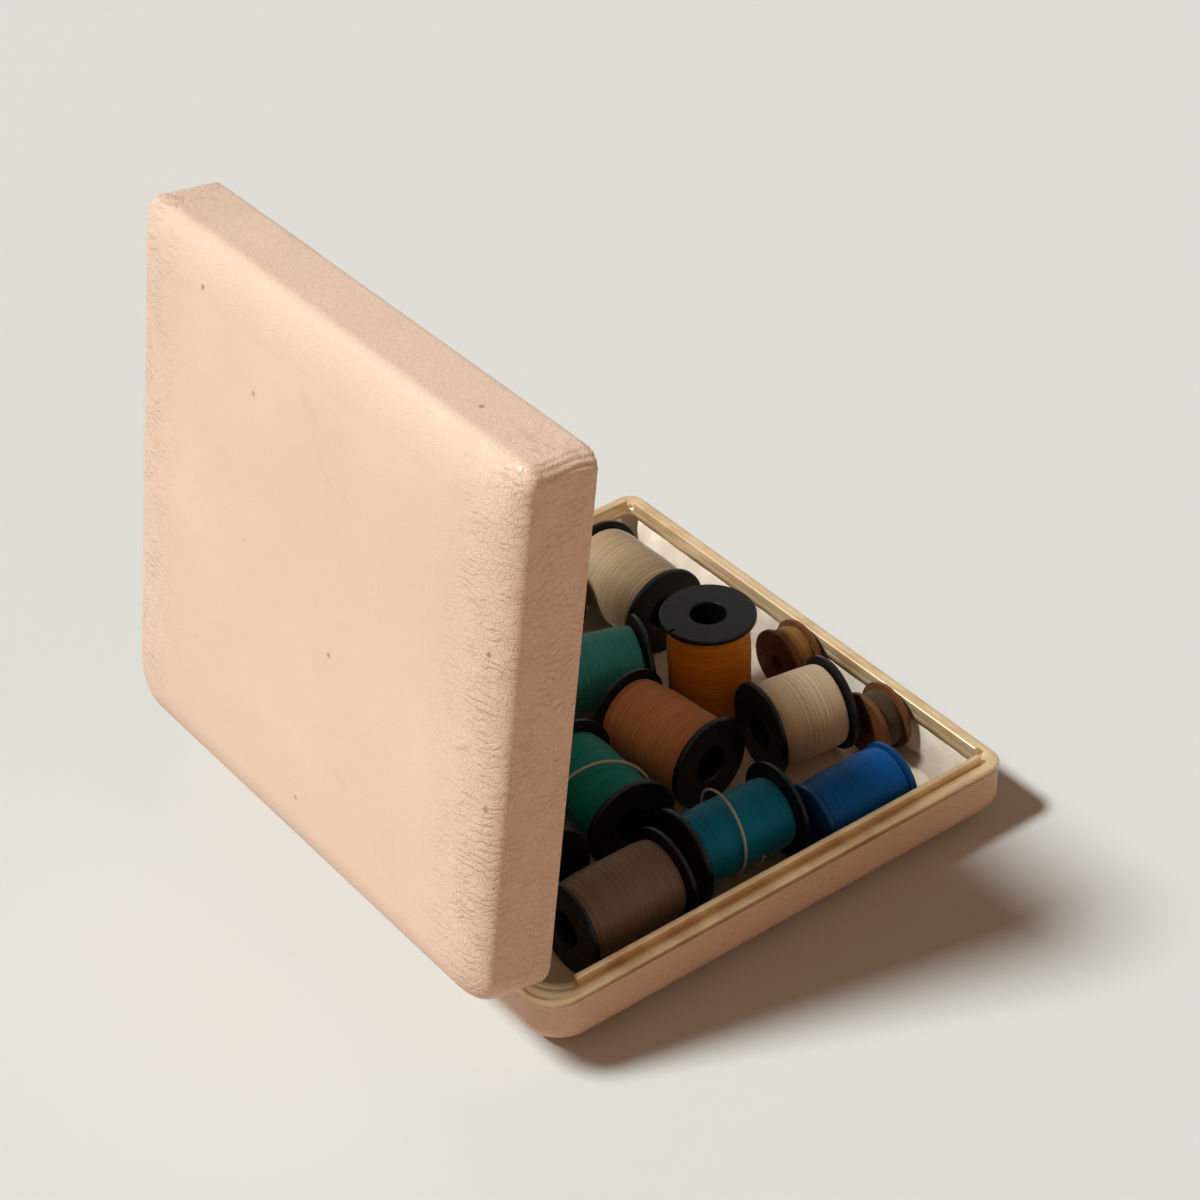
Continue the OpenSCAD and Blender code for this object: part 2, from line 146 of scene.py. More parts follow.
def add_sun(name, energy, spread, colour, tilt):
    """A soft distant lamp; spread and tilt are in degrees."""
    light = bpy.data.lights.new(name, "SUN")
    light.energy = energy
    light.angle = math.radians(spread)
    light.color = colour
    lamp = bpy.data.objects.new(name, light)
    lamp.rotation_euler = [math.radians(turn) for turn in tilt]
    bpy.context.scene.collection.objects.link(lamp)


add_sun("window", 4.05, 10, WINDOW_LIGHT, (37.5, 0, 157))
add_sun("wall_glow", 0.34, 70, GLOW_LIGHT, (0, -78, 0))
room = bpy.data.worlds.new("room")
room.use_nodes = True
room.node_tree.links.new(pale_where_seen(room, ROOM_SEEN, ROOM_FILL),
                         room.node_tree.nodes["Background"].inputs["Color"])
bpy.context.scene.world = room

# ---- Leatherette covers ----------------------------------------------------------------
# Pinkish cream leatherette is glued round the padded board of the base and of the lid. It
# is drawn over their pillow edges and pleated at the corners, and its grain has crazed.
cover_high = Vector(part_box("base_cover")[1])
hinge_joint = next(j for j in frame["joints"] if j["name"] == "lid_hinge")
HINGE = Vector(hinge_joint["pos_m"])
LID_OPEN = math.radians(hinge_joint["range_deg"][1])
RIM_FACE = 1.5 * MM            # height of the base rim's outer face
LID_TURN_IN = 0.2 * MM         # the lid's skin ends this far above the meeting plane
LID_HEIGHT = 16.1 * MM
HALF_W = cover_high.x
HALF_D = cover_high.y
RIM_PLANE = cover_high.z + RIM_FACE
FRONT_CORNER = 3.2 * MM
HINGE_CORNER = 6.8 * MM
CORNER_STEPS = 22
SIDE_STEPS = 40
SKIN = 0.5 * MM
BASE_EDGE = (8.9 * MM, 6.4 * MM)       # how far the rounded edge reaches in, and its drop
LID_EDGE = (9.9 * MM, 4.4 * MM)
LID_HINGE_DROP = 7.5 * MM      # the lid's edge is rounder along the hinge
LID_CROWN = 0.6 * MM
FACE_HALF = 11 * MM            # half depth of the flat patch that closes a face
SHOWN_EDGE = 16 * MM           # how far in from its edge a face is crazed
CREASE_START = 5 * MM          # creases fade over the next CREASE_FADE
CREASE_FADE = 12 * MM
TURNED_EDGE = ((0.0, 0.14), (0.04, 0.04), (0.14, 0.0))    # height and draw in mm


def plan_ring(z, side, front, back, growth=0.0):
    """The case's outline at a height, drawn in by side, front and back."""
    front_r = FRONT_CORNER + growth
    back_r = HINGE_CORNER + growth * 0.2
    right, left = -HALF_W + side, HALF_W - side
    near, far = -HALF_D + front, HALF_D - back
    ring = []
    for cx, cy, r, start in ((left - back_r, far - back_r, back_r, 0),
                             (right + back_r, far - back_r, back_r, 90),
                             (right + front_r, near + front_r, front_r, 180),
                             (left - front_r, near + front_r, front_r, 270)):
        for i in range(CORNER_STEPS + 1):
            a = math.radians(start + 90 * i / CORNER_STEPS)
            ring.append(Vector((cx + r * math.cos(a), cy + r * math.sin(a), z)))
    closed = []
    for i, point in enumerate(ring):
        closed.append(point)
        if i % (CORNER_STEPS + 1) == CORNER_STEPS:
            beyond = ring[(i + 1) % len(ring)]
            closed += [point.lerp(beyond, k / SIDE_STEPS) for k in range(1, SIDE_STEPS)]
    return closed


def first_ring(bm, points):
    """A closed ring of vertices and edges through these points."""
    ring = [bm.verts.new(point) for point in points]
    for i in range(len(ring)):
        bm.edges.new((ring[i - 1], ring[i]))
    return ring


def carry_ring(bm, ring, points):
    """Extrudes a ring and takes its new vertices to these points."""
    edges = [bm.edges.get((ring[i - 1], ring[i])) for i in range(len(ring))]
    fresh = set(bmesh.ops.extrude_edge_only(bm, edges=edges)["geom"])
    carried = []
    for vertex, point in zip(ring, points):
        twin = next(edge.other_vert(vertex) for edge in vertex.link_edges
                    if edge.other_vert(vertex) in fresh)
        twin.co = point
        carried.append(twin)
    return carried


def pillow_shell(bottom, height, reach, drop, back_drop, crown):
    """A shell open at its bottom ring, with a wall, a rounded edge and a crowned top."""
    bm = bmesh.new()
    top = bottom + height - crown
    wall = top - back_drop - bottom
    heights = [bottom + wall * i / 8 for i in range(1, 8)]
    if back_drop > drop:
        heights += [top - back_drop + (back_drop - drop) * i / 6 for i in range(6)]
    heights += [top - drop * (1 - math.sin(math.radians(90 * i / 16))) for i in range(17)]
    rings = [plan_ring(bottom + up * MM, *[draw * MM] * 3) for up, draw in TURNED_EDGE]
    for z in heights:
        side = edge_draw(z - top + drop, reach, drop)
        back = edge_draw(z - top + back_drop, reach, back_drop)
        rings.append(plan_ring(z, side, side, back, growth=side * 0.5))
    for i in range(1, 17):
        inner = reach + (HALF_D - reach - FACE_HALF) * (i / 16) ** 1.3
        lift = crown * math.sin(math.radians(90 * i / 16))
        rings.append(plan_ring(top + lift, inner, inner, inner,
                               growth=reach * 0.5 * (1 - i / 16)))
    ring = first_ring(bm, rings[0])
    for points in rings[1:]:
        ring = carry_ring(bm, ring, points)
    bmesh.ops.contextual_create(bm, geom=ring)
    bmesh.ops.recalc_face_normals(bm, faces=bm.faces)
    return bm


def edge_draw(up, reach, drop):
    """How far a quarter-ellipse edge has drawn in at a height above its start."""
    if up <= 0:
        return 0.0
    return reach * (1 - math.sqrt(max(0.0, 1 - min(up / drop, 1.0) ** 2)))


PEACH = (0.76, 0.55, 0.41)


def leatherette(name, colour):
    """Crazed leatherette: creases and cracks darkened with painted shade, fine grain, faint
    mottling, specks, a dull shine.
    """
    skin = add_material(name, colour, roughness=0.4, Specular_IOR_Level=0.38)
    place = node(skin, "TexCoord").outputs["Object"]
    edge = node(skin, "Attribute", attribute_name="near_edge").outputs["Fac"]
    drift = node(skin, "TexNoise", {"Vector": place, "Scale": 210, "Detail": 2})
    centred = node(skin, "VectorMath", {0: drift.outputs["Color"], 1: (0.5, 0.5, 0.5)},
                   operation="SUBTRACT")
    warped = node(skin, "VectorMath", {0: centred.outputs[0], 1: (0.006, 0.006, 0.004),
                                       2: place}, operation="MULTIPLY_ADD").outputs[0]
    # curved wrinkles lie across the rounded edges
    swirl = node(skin, "TexWave", {"Vector": warped, "Scale": 215, "Distortion": 7.5,
                                   "Detail": 3, "Detail Scale": 1.1},
                 bands_direction="Z", wave_profile="SIN")
    groove = node(skin, "MapRange", {"Value": swirl.outputs["Fac"], "From Min": 0.0,
                                     "From Max": 0.45})
    patches = node(skin, "TexNoise", {"Vector": place, "Scale": 230, "Detail": 2})
    where = node(skin, "MapRange", {"Value": patches.outputs["Fac"], "From Min": 0.42,
                                    "From Max": 0.6})
    creased = node(skin, "Attribute", attribute_name="creased").outputs["Fac"]
    amount = node(skin, "Math", {0: where.outputs[0], 1: creased}, operation="MULTIPLY")
    wrinkles = node(skin, "Math", {0: groove.outputs[0], 1: amount.outputs[0]},
                    operation="MULTIPLY")
    # a net of fine cracks breaks the film between them
    craze = node(skin, "TexVoronoi", {"Vector": warped, "Scale": 820},
                 feature="DISTANCE_TO_EDGE")
    crack = node(skin, "MapRange", {"Value": craze.outputs["Distance"], "From Min": 0.0,
                                    "From Max": 0.08})
    cracks = node(skin, "Math", {0: crack.outputs[0], 1: edge}, operation="MULTIPLY")
    grain = node(skin, "TexNoise", {"Vector": place, "Scale": 2400, "Detail": 2})
    relief = node(skin, "Math", {0: grain.outputs["Fac"], 1: 0.6, 2: cracks.outputs[0]},
                  operation="MULTIPLY_ADD")
    grained = node(skin, "Bump", {"Strength": 0.75, "Distance": 0.00006,
                                  "Height": relief.outputs[0]})
    fine = node(skin, "Bump", {"Strength": 0.6, "Distance": 0.00011,
                               "Height": wrinkles.outputs[0],
                               "Normal": grained.outputs["Normal"]})
    # the padding under it gives the flat faces a slow, shallow unevenness
    padding = node(skin, "TexNoise", {"Vector": place, "Scale": 42, "Detail": 2})
    uneven = node(skin, "Bump", {"Strength": 0.35, "Distance": 0.0012,
                                 "Height": padding.outputs["Fac"],
                                 "Normal": fine.outputs["Normal"]})
    shade(skin, "Normal", uneven.outputs["Normal"])
    gloss = node(skin, "MapRange", {"Value": grain.outputs["Fac"], "From Min": 0.35,
                                    "From Max": 0.65, "To Min": 0.3, "To Max": 0.52})
    shade(skin, "Roughness", gloss.outputs[0])
    # age has mottled the colour; scuffs are grey brown and the specks are nearly black
    mottle = node(skin, "TexNoise", {"Vector": place, "Scale": 38, "Detail": 4})
    tone = node(skin, "MixRGB", {"Fac": mottle.outputs["Fac"],
                                 "Color1": (*[c * 0.92 for c in colour], 1),
                                 "Color2": (*[min(1, c * 1.07) for c in colour], 1)})
    rubbed = node(skin, "TexNoise", {"Vector": place, "Scale": 58, "Detail": 5,
                                     "Distortion": 0.8})
    rub = node(skin, "MapRange", {"Value": rubbed.outputs["Fac"], "From Min": 0.66,
                                  "From Max": 0.76, "To Max": 0.3})
    scuffed = node(skin, "MixRGB", {"Fac": rub.outputs[0], "Color1": tone.outputs[0],
                                    "Color2": (0.46, 0.33, 0.25, 1)})
    # painted shade: the grooves of the wrinkles and the cracks near the edges are darkened
    # towards deep brown
    hollow = node(skin, "MapRange", {"Value": crack.outputs[0], "To Min": 0.26,
                                     "To Max": 0.0})
    crazed = node(skin, "Math", {0: hollow.outputs[0], 1: edge}, operation="MULTIPLY")
    folded = node(skin, "MapRange", {"Value": groove.outputs[0], "To Min": 0.42,
                                     "To Max": 0.06})
    painted_crease_shade = node(skin, "Math", {0: folded.outputs[0], 1: amount.outputs[0],
                                 2: crazed.outputs[0]}, operation="MULTIPLY_ADD")
    shaded_in_creases = node(skin, "MixRGB", {"Fac": painted_crease_shade.outputs[0], "Color1": scuffed.outputs[0],
                                  "Color2": (0.50, 0.30, 0.19, 1)})
    cell = node(skin, "TexVoronoi", {"Vector": place, "Scale": 120})
    dots = node(skin, "MapRange", {"Value": cell.outputs["Distance"], "From Min": 0.03,
                                   "From Max": 0.085, "To Min": 0.7, "To Max": 0.0})
    few = node(skin, "SeparateColor", {"Color": cell.outputs["Color"]})
    chosen = node(skin, "Math", {0: few.outputs["Red"], 1: 0.7}, operation="GREATER_THAN")
    speck = node(skin, "Math", {0: dots.outputs[0], 1: chosen.outputs[0]},
                 operation="MULTIPLY")
    specked = node(skin, "MixRGB", {"Fac": speck.outputs[0], "Color1": shaded_in_creases.outputs[0],
                                    "Color2": (0.20, 0.11, 0.07, 1)})
    shade(skin, "Base Color", specked.outputs[0])
    return skin


def mark_edges(piece, far_from_edge, creases):
    """Writes near_edge, 1 on the side walls and less over the face, and creased."""
    near = piece.data.attributes.new("near_edge", "FLOAT", "POINT")
    creased = piece.data.attributes.new("creased", "FLOAT", "POINT")
    for vertex, edge, crease in zip(piece.data.vertices, near.data, creased.data):
        inward = HALF_W - abs(vertex.co.x)
        aside = 1.3 - inward / far_from_edge
        ahead = 0.75 - (HALF_D - abs(vertex.co.y)) / far_from_edge
        edge.value = max(0.08, min(1.0, aside), min(0.6, ahead))
        on_rounding = max(0.0, 1 - max(0.0, inward - CREASE_START) / CREASE_FADE)
        down_wall = 0.75 if inward < 1.2 * MM else 1.0
        crease.value = creases * on_rounding * down_wall


def thicken(piece, thickness):
    """Gives a skin its thickness, inwards."""
    wall = piece.modifiers.new("thickness", "SOLIDIFY")
    wall.thickness = thickness
    wall.offset = -1


peach_leatherette = leatherette("peach_leatherette", PEACH)
base_shell = pillow_shell(0, cover_high.z, *BASE_EDGE, BASE_EDGE[1], 0.0)
bmesh.ops.transform(base_shell, matrix=Matrix.Translation((0, 0, cover_high.z))
                    @ Matrix.Scale(-1, 4, (0, 0, 1)), verts=base_shell.verts)
bmesh.ops.recalc_face_normals(base_shell, faces=base_shell.faces)
base_skin = shown(base_shell, "base_skin", peach_leatherette)
mark_edges(base_skin, SHOWN_EDGE, 0.0)
thicken(base_skin, SKIN)
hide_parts("base_cover", "bottom_panel")
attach(base_skin, "base")

lid_bottom = RIM_PLANE + LID_TURN_IN
lid_height = LID_HEIGHT - LID_TURN_IN
lid_shell = pillow_shell(lid_bottom, lid_height, *LID_EDGE, LID_HINGE_DROP, LID_CROWN)
PLEATS = 4
PLEAT_DEPTH = 0.26 * MM
SEAM_X = 21.5 * MM             # the covering's ends overlap here on the front wall
SEAM_STEP = 0.16 * MM
SEAM_FADE = 30 * MM            # the upper end comes down to the lower one over this
FRONT_WALL = 9 * MM            # skin nearer the front than this belongs to the front wall


def pleat_corners(bm, low, high):
    """Gathers the skin into pleats down the wall at the two front corners."""
    for vertex in bm.verts:
        place = vertex.co
        centre_y = -HALF_D + FRONT_CORNER
        for side in (-1, 1):
            centre = Vector((side * (HALF_W - FRONT_CORNER), centre_y, place.z))
            arm = place - centre
            if arm.x * side < -1.2 * MM or arm.y > 1.2 * MM or not low < place.z < high:
                continue
            a = math.atan2(arm.x * side, -arm.y) / math.radians(90)
            fade = max(0.0, 1 - abs(a - 0.5) / 0.75)
            rise = min(1.0, (high - place.z) / (high - low) * 1.8)
            wobble = 0.25 * math.sin(place.z / (1.9 * MM) + side)
            fold = abs(math.sin(math.pi * (a * PLEATS + wobble))) - 0.6
            vertex.co += arm.normalized() * PLEAT_DEPTH * fold * fade * rise


def overlap_seam(bm, x, step):
    """Raises the skin of the front wall past x, where one end of it lies on the other."""
    for vertex in bm.verts:
        if vertex.co.y < -HALF_D + FRONT_WALL:
            past = 1 / (1 + math.exp(-(vertex.co.x - x) / (0.25 * MM)))
            run_out = max(0.0, 1 - max(0.0, vertex.co.x - x) / SEAM_FADE)
            vertex.co.y -= step * past * run_out


pleat_corners(lid_shell, lid_bottom - MM, lid_bottom + lid_height - 2 * MM)
overlap_seam(lid_shell, SEAM_X, SEAM_STEP)
lid_skin = shown(lid_shell, "lid_skin", peach_leatherette)
mark_edges(lid_skin, SHOWN_EDGE, 1.0)
TO_OPEN = (Matrix.Translation(HINGE) @ Matrix.Rotation(-LID_OPEN, 4, "X")
           @ Matrix.Translation(-HINGE))
lid_skin.data.transform(TO_OPEN)
thicken(lid_skin, SKIN)
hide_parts("lid_cover")
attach(lid_skin, "lid")

# ---- Gilt rims and hinge ---------------------------------------------------------------
# Thin rolled brass, gilt and lacquered, frames both halves. The base's rim is rolled down
# to a groove beside a raised lip that the lid shuts over, and a piano hinge joins the two.
LIP_OUT = 2.4 * MM
LIP_WIDTH = 1.1 * MM
LIP_HEIGHT = 1.3 * MM
LIP_ROOT = 0.8 * MM            # how far the lip is sunk in the rim
LIP_CORNER_GAP = 2.4 * MM      # the front lip is this much shorter than the frame inside
LIP_HINGE_GAP = 7 * MM         # the side lips are shorter, and set forward for the hinge
LIP_FORWARD = 2 * MM
BASE_RIM_SECTION = ((0.0, -1.5), (0.0, -0.55), (0.06, -0.3), (0.2, -0.1), (0.42, 0.0),
                    (0.8, 0.03), (1.3, -0.02), (1.8, -0.16), (2.15, -0.34), (2.4, -0.42),
                    (3.3, -0.42), (3.5, -0.6), (3.5, -2.2), (3.0, -2.2), (3.0, -1.5))
LID_RIM_SECTION = ((0.72, 1.4), (0.72, 0.3), (0.8, 0.17), (0.95, 0.12), (1.9, 0.1),
                   (2.1, 0.2), (2.2, 0.4), (2.2, 1.4))
RIM_SET_BACK = 0.2 * MM        # the covers lie this far behind the rims' faces


def gilt_metal():
    """Lacquered gilt brass, dulled and darkened in uneven clouds and faintly dented."""
    metal = add_material("gilt", (0.68, 0.50, 0.29), roughness=0.36, Metallic=0.45)
    place = node(metal, "TexCoord").outputs["Object"]
    cloud = node(metal, "TexNoise", {"Vector": place, "Scale": 140, "Detail": 5})
    streak = node(metal, "TexNoise", {"Vector": place, "Scale": 900, "Detail": 2})
    tarnish = node(metal, "MapRange", {"Value": cloud.outputs["Fac"], "From Min": 0.42,
                                       "From Max": 0.72})
    tone = node(metal, "MixRGB", {"Fac": tarnish.outputs[0],
                                  "Color1": (0.72, 0.53, 0.31, 1),
                                  "Color2": (0.54, 0.34, 0.16, 1)})
    shade(metal, "Base Color", tone.outputs[0])
    dull = node(metal, "MapRange", {"Value": streak.outputs["Fac"], "To Min": 0.26,
                                    "To Max": 0.5})
    shade(metal, "Roughness", dull.outputs[0])
    dents = node(metal, "Bump", {"Strength": 0.25, "Distance": 0.00006,
                                 "Height": cloud.outputs["Fac"]})
    shade(metal, "Normal", dents.outputs["Normal"])
    return metal


def rim_frame(section, level):
    """Sweeps a closed section round the case: its points are inset and height in mm."""
    bm = bmesh.new()
    rings = []
    for inset, height in section + section[:1]:
        draw = inset * MM - RIM_SET_BACK
        rings.append(plan_ring(level + height * MM, draw, draw, draw, growth=-draw * 0.5))
    ring = first_ring(bm, rings[0])
    for points in rings[1:]:
        ring = carry_ring(bm, ring, points)
    bmesh.ops.remove_doubles(bm, verts=bm.verts, dist=0.001 * MM)
    bmesh.ops.recalc_face_normals(bm, faces=bm.faces)
    return bm


def add_bar(bm, length, width, height, matrix):
    """A bar along X with rounded edges and ends."""
    made = set(bmesh.ops.create_cube(bm, size=1, matrix=matrix @ Matrix.Diagonal(
        (length, width, height, 1)))["verts"])
    edges = [edge for edge in bm.edges if made.issuperset(edge.verts)]
    bmesh.ops.bevel(bm, geom=edges, offset=0.3 * MM, segments=3, profile=0.5,
                    affect="EDGES", material=-1)


gilt = gilt_metal()
base_frame = rim_frame(BASE_RIM_SECTION, RIM_PLANE)
bar_height = LIP_HEIGHT + LIP_ROOT
bar_z = RIM_PLANE + LIP_HEIGHT - bar_height / 2
lip_line = LIP_OUT + LIP_WIDTH / 2 - RIM_SET_BACK
front_lip = 2 * (HALF_W - lip_line) - LIP_WIDTH - LIP_CORNER_GAP
side_lip = 2 * (HALF_D - lip_line) + LIP_WIDTH - LIP_HINGE_GAP
add_bar(base_frame, front_lip, LIP_WIDTH, bar_height,
        Matrix.Translation((0, -HALF_D + lip_line, bar_z)))
for side in (-1, 1):
    add_bar(base_frame, side_lip, LIP_WIDTH, bar_height,
            Matrix.Translation((side * (HALF_W - lip_line), -LIP_FORWARD, bar_z))
            @ Matrix.Rotation(math.radians(90), 4, "Z"))
base_gilt = shown(base_frame, "base_gilt_rim", gilt)
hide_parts("base_rim")
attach(base_gilt, "base")

lid_gilt = shown(rim_frame(LID_RIM_SECTION, RIM_PLANE), "lid_gilt_rim", gilt)
lid_gilt.data.transform(TO_OPEN)
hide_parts("lid_rim")
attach(lid_gilt, "lid")
for name in ("base_hinge_leaf", "lid_hinge_leaf", "hinge_pin"):
    frame["nodes"][name].data.materials.clear()
    frame["nodes"][name].data.materials.append(gilt)

# ---- Satin lining ----------------------------------------------------------------------
# Cream satin is stretched over thin wadding on the floor, the walls and the lid's ceiling.
# It is tucked under the rims, where it puckers, and glued to the board behind.
SATIN = 0.3 * MM               # the cloth and its wadding, as far as it shows
LID_SATIN = 0.2 * MM
CEILING_SATIN = 0.25 * MM
PAD_CORNER = 4 * MM            # plan radius of the floor's and the ceiling's corners
FLOOR_CROWN = 1.0 * MM
FLOOR_SWELL = 0.4 * MM
CEILING_CROWN = 0.5 * MM
CEILING_SWELL = 0.3 * MM
WALL_BULGE = 1.75 * MM
LID_WALL_BULGE = 0.55 * MM
WALL_SHORT = 4.4 * MM          # a strip is this much shorter than its wall, and the lid's
LID_WALL_SHORT = 4 * MM
CORNER_LIFT = 2.6 * MM         # a strip's foot lifts over the board's rounded corner
CORNER_REACH = 5 * MM


def satin_cloth():
    """Cream satin: a soft sheen, a very fine weave and shallow puckers."""
    cloth = add_material("satin", (0.78, 0.70, 0.57), roughness=0.4, Sheen_Weight=0.35,
                         Sheen_Roughness=0.4, Specular_IOR_Level=0.45)
    place = node(cloth, "TexCoord").outputs["Object"]
    soft = node(cloth, "TexNoise", {"Vector": place, "Scale": 130, "Detail": 3,
                                    "Distortion": 1.2})
    weave = node(cloth, "TexNoise", {"Vector": place, "Scale": 5200, "Detail": 1})
    height = node(cloth, "Math", {0: weave.outputs["Fac"], 1: 0.03,
                                  2: soft.outputs["Fac"]}, operation="MULTIPLY_ADD")
    creases = node(cloth, "Bump", {"Strength": 0.5, "Distance": 0.0009,
                                   "Height": height.outputs[0]})
    shade(cloth, "Normal", creases.outputs["Normal"])
    age = node(cloth, "TexNoise", {"Vector": place, "Scale": 55, "Detail": 3})
    tone = node(cloth, "MixRGB", {"Fac": age.outputs["Fac"],
                                  "Color1": (0.92, 0.83, 0.69, 1),
                                  "Color2": (0.80, 0.68, 0.52, 1)})
    shade(cloth, "Base Color", tone.outputs[0])
    return cloth


def quilted_panel(low, high, crown, swell, corner):
    """A flat pad with round corners and a rounded border, puckered towards its edge."""
    bm = bmesh.new()
    size = high - low
    middle = (high + low) / 2
    bmesh.ops.create_grid(bm, x_segments=120, y_segments=112, size=0.5,
                          matrix=Matrix.Translation((middle.x, middle.y, high.z))
                          @ Matrix.Diagonal((size.x, size.y, 1, 1)))
    for vertex in bm.verts:
        x, y = vertex.co.x - middle.x, vertex.co.y - middle.y
        edge = min(size.x / 2 - abs(x), size.y / 2 - abs(y))
        past = Vector((abs(x) - size.x / 2 + corner, abs(y) - size.y / 2 + corner))
        if min(past) > 0:
            draw = past * (1 - max(past) / past.length)
            vertex.co.x -= math.copysign(draw.x, x)
            vertex.co.y -= math.copysign(draw.y, y)
        border = 1 - math.sqrt(max(0.0, 1 - (1 - min(edge / (3 * MM), 1.0)) ** 2))
        ripple = noise.noise(Vector((x, y, low.z)) * 260) * max(0.0, 1 - edge / (14 * MM))
        dip = noise.noise(Vector((x, y, low.z + 1)) * 75)
        vertex.co.z -= crown * border + swell * (abs(ripple) * 1.6 + max(0.0, dip) * 0.7)
    return bm


def satin_strip(length, low, high, bulge, seed):
    """A padded wall strip along X that faces +Y, gathered in soft upright puckers."""
    bm = bmesh.new()
    bmesh.ops.create_grid(bm, x_segments=150, y_segments=14, size=0.5,
                          matrix=Matrix.Translation((0, 0, (low + high) / 2))
                          @ Matrix.Rotation(math.radians(-90), 4, "X")
                          @ Matrix.Diagonal((length, high - low, 1, 1)))
    for vertex in bm.verts:
        up = (vertex.co.z - low) / (high - low)
        arch = math.sin(math.pi * (0.12 + 0.76 * up))
        pucker = noise.noise(Vector((vertex.co.x * 260, up * 0.9, seed)))
        end = min(1.0, (length / 2 - abs(vertex.co.x)) / (2 * MM))
        vertex.co.y += bulge * (0.5 + 0.5 * arch) * (0.78 + 0.5 * pucker) * end
        corner = max(0.0, 1 - (length / 2 - abs(vertex.co.x)) / CORNER_REACH)
        vertex.co.z += CORNER_LIFT * corner * (1 - up)
    return bm


def line_with_satin(bm, name, stands_for, body, opened, thickness):
    """Finishes a satin piece: its thickness, its place and what it rides on."""
    piece = shown(bm, name, cream_satin)
    if opened:
        piece.data.transform(TO_OPEN)
    thicken(piece, thickness)
    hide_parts(stands_for)
    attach(piece, body)


cream_satin = satin_cloth()
floor_low, floor_high = (Vector(c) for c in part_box("base_floor_pad"))
floor_panel = quilted_panel(floor_low, floor_high, FLOOR_CROWN, FLOOR_SWELL, PAD_CORNER)
line_with_satin(floor_panel, "satin_floor", "base_floor_pad", "base", False, SATIN)

WALL_IN = 2.2 * MM             # the board's inner face, in from the rims' faces
wall_low = floor_high.z - 0.4 * MM
wall_high = RIM_PLANE - 2.2 * MM
half_w = HALF_W + RIM_SET_BACK - WALL_IN
half_d = HALF_D + RIM_SET_BACK - WALL_IN
WALLS = {"front": (0, half_w, half_d), "right": (90, half_d, half_w),
         "back": (180, half_w, half_d), "left": (270, half_d, half_w)}
for seed, (wall, (turn, half_along, away)) in enumerate(WALLS.items()):
    strip = satin_strip(2 * half_along - WALL_SHORT, wall_low, wall_high, WALL_BULGE, seed)
    bmesh.ops.transform(strip, verts=strip.verts, matrix=Matrix.Rotation(
        math.radians(turn), 4, "Z") @ Matrix.Translation((0, -away, 0)))
    line_with_satin(strip, "satin_wall_" + wall, "base_lining_" + wall, "base", False,
                    SATIN)

CEILING_IN = 4.3 * MM          # edge of the ceiling pad, in from the rims' faces
CEILING_PAD = 0.9 * MM
ceiling_low = RIM_PLANE + LID_HEIGHT - 3.6 * MM
ceiling_w = HALF_W + RIM_SET_BACK - CEILING_IN
ceiling_d = HALF_D + RIM_SET_BACK - CEILING_IN
ceiling = quilted_panel(Vector((-ceiling_w, -ceiling_d, 0)),
                        Vector((ceiling_w, ceiling_d, CEILING_PAD)), CEILING_CROWN,
                        CEILING_SWELL, PAD_CORNER)
bmesh.ops.transform(ceiling, verts=ceiling.verts, matrix=Matrix.Translation(
    (0, 0, ceiling_low + CEILING_PAD)) @ Matrix.Rotation(math.radians(180), 4, "X"))
line_with_satin(ceiling, "satin_ceiling", "lid_ceiling_pad", "lid", True, CEILING_SATIN)
lid_wall_low = RIM_PLANE + 1.9 * MM
lid_wall_high = RIM_PLANE + 11 * MM
for seed, (wall, (turn, half_along, away)) in enumerate(WALLS.items()):
    strip = satin_strip(2 * half_along - LID_WALL_SHORT, lid_wall_low, lid_wall_high,
                        LID_WALL_BULGE, seed + 7)
    bmesh.ops.transform(strip, verts=strip.verts, matrix=Matrix.Rotation(
        math.radians(turn), 4, "Z") @ Matrix.Translation((0, -away, 0)))
    line_with_satin(strip, "lid_satin_" + wall, "lid_lining_" + wall, "lid", True,
                    LID_SATIN)

board = add_material("board", (0.50, 0.42, 0.33), roughness=0.9)
for name in ("base_core", "lid_core"):
    frame["nodes"][name].data.materials.clear()
    frame["nodes"][name].data.materials.append(board)

# ---- Spools and reels ------------------------------------------------------------------
# Spools are moulded in black or blue plastic, with a nick in one flange that holds the
# thread's end. The two small reels are of brown plastic. Each lies loose in the case.
def moulded_plastic(name, colour, roughness):
    """Moulded plastic, handled and lightly scuffed."""
    plastic = add_material(name, colour, roughness=roughness, Specular_IOR_Level=0.15)
    place = node(plastic, "TexCoord").outputs["Object"]
    scuff = node(plastic, "TexNoise", {"Vector": place, "Scale": 700, "Detail": 4})
    dull = node(plastic, "MapRange", {"Value": scuff.outputs["Fac"], "From Min": 0.35,
                                      "From Max": 0.7, "To Min": roughness - 0.06,
                                      "To Max": roughness + 0.14})
    shade(plastic, "Roughness", dull.outputs[0])
    mould = node(plastic, "Bump", {"Strength": 0.15, "Distance": 0.00004,
                                   "Height": scuff.outputs["Fac"]})
    shade(plastic, "Normal", mould.outputs["Normal"])
    return plastic


black_plastic = moulded_plastic("black_plastic", (0.006, 0.006, 0.0065), 0.36)
blue_plastic = moulded_plastic("blue_plastic", (0.006, 0.07, 0.24), 0.3)
brown_plastic = moulded_plastic("brown_plastic", (0.14, 0.055, 0.018), 0.3)
for name, part in frame["nodes"].items():
    if name.startswith(("spool_", "reel_")):
        part.data.materials.clear()
        part.data.materials.append(blue_plastic if name == "spool_blue" else
                                   brown_plastic if name.startswith("reel_") else
                                   black_plastic)
